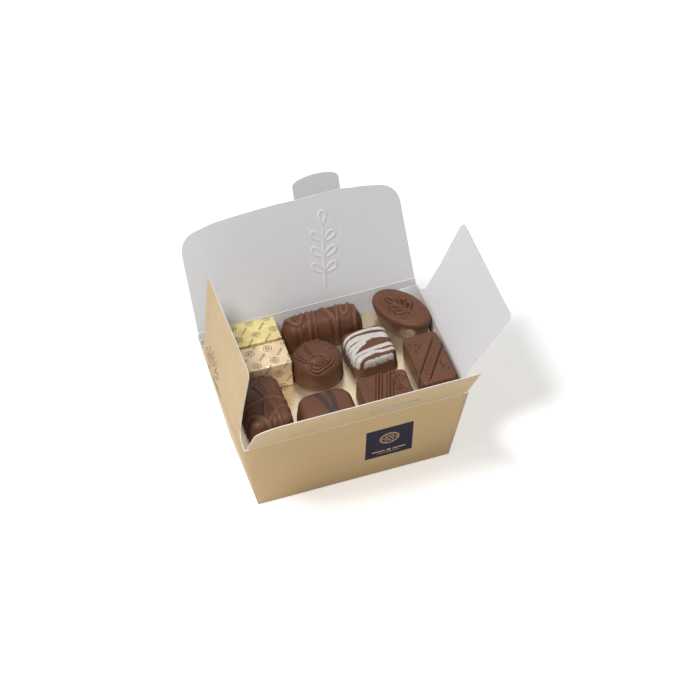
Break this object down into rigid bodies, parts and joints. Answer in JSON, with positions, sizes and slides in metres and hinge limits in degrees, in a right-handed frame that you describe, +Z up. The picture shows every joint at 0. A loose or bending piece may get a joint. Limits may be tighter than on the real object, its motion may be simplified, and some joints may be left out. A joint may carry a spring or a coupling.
{
  "type": "box of chocolate pralines",
  "caption": "Open folded carton of assorted chocolate pralines on a gold card, with a hinged lid and tongue, a slitted front flap and folding side flaps.",
  "frame": {"origin": "middle of the carton's base, on the surface it stands on", "axes": "+X along the box towards its right side flap, +Y towards the lid's fold, +Z up; the front flap is on -Y"},
  "size_m": [0.1531, 0.1527, 0.1331],
  "materials": {
    "carton": "satin gold outside, pale uncoated inside",
    "gold_card": "bright gold laminate",
    "yellow_foil": "satin printed foil",
    "peach_foil": "satin printed foil",
    "milk_chocolate": "soft satin milk chocolate"
  },
  "bodies": {
    "box": {"tray": "carton", "pad": "gold_card", "foil_block_rear": "yellow_foil", "foil_block_front": "peach_foil", "praline_log": "milk_chocolate", "praline_dome": "milk_chocolate", "praline_oval": "milk_chocolate", "praline_striped": "milk_chocolate", "praline_barred": "milk_chocolate", "praline_grooved": "milk_chocolate", "praline_two_stripe": "milk_chocolate", "praline_netted": "milk_chocolate"},
    "left_flap": {"left_flap": "carton"},
    "right_flap": {"right_flap": "carton"},
    "front_flap": {"front_flap": "carton"},
    "lid": {"lid": "carton"},
    "tongue": {"tongue": "carton"}
  },
  "joints": [
    {"name": "lid_fold", "type": "hinge", "parent": "box", "child": "lid", "pos_m": [0, 0.04618, 0.0654], "axis": [-1, 0, 0], "range_deg": [-31, 85]},
    {"name": "tongue_fold", "type": "hinge", "parent": "lid", "child": "tongue", "pos_m": [0.0174, 0.07181, 0.12036], "axis": [-1, 0, 0], "range_deg": [-48, 12]},
    {"name": "front_fold", "type": "hinge", "parent": "box", "child": "front_flap", "pos_m": [0, -0.0452, 0.062], "axis": [1, 0, 0], "range_deg": [-41, 74]},
    {"name": "left_fold", "type": "hinge", "parent": "box", "child": "left_flap", "pos_m": [-0.0625, 0, 0.062], "axis": [0, -1, 0], "range_deg": [-42, 119]},
    {"name": "right_fold", "type": "hinge", "parent": "box", "child": "right_flap", "pos_m": [0.0625, 0, 0.062], "axis": [0, 1, 0], "range_deg": [-49, 76]}
  ]
}
